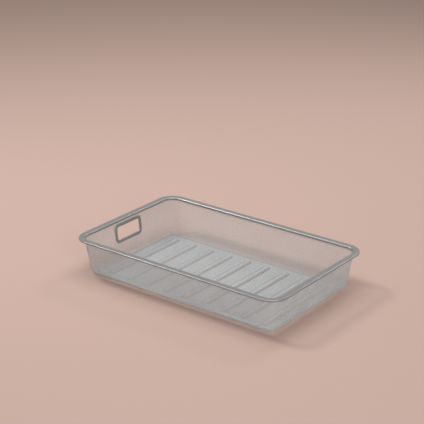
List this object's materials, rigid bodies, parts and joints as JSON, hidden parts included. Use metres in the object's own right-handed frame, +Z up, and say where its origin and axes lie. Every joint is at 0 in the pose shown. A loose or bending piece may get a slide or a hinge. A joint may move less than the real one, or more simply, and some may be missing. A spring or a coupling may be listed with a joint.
{
  "type": "mesh basket",
  "caption": "Shallow rectangular mesh basket with a flat channel rim, ribbed floor, leaning walls with rounded corners and a framed hand hole in one end wall.",
  "frame": {"origin": "middle of the footprint, on the surface that the basket stands on", "axes": "+X along the length, away from the end wall with the hand hole; +Y along the width; +Z up"},
  "size_m": [0.54, 0.343, 0.086],
  "materials": {
    "mesh": "satin",
    "rim": "satin",
    "frame": "satin"
  },
  "bodies": {
    "root": {"mesh_tray": "mesh", "rim": "rim", "handle_frame": "frame"}
  },
  "joints": []
}
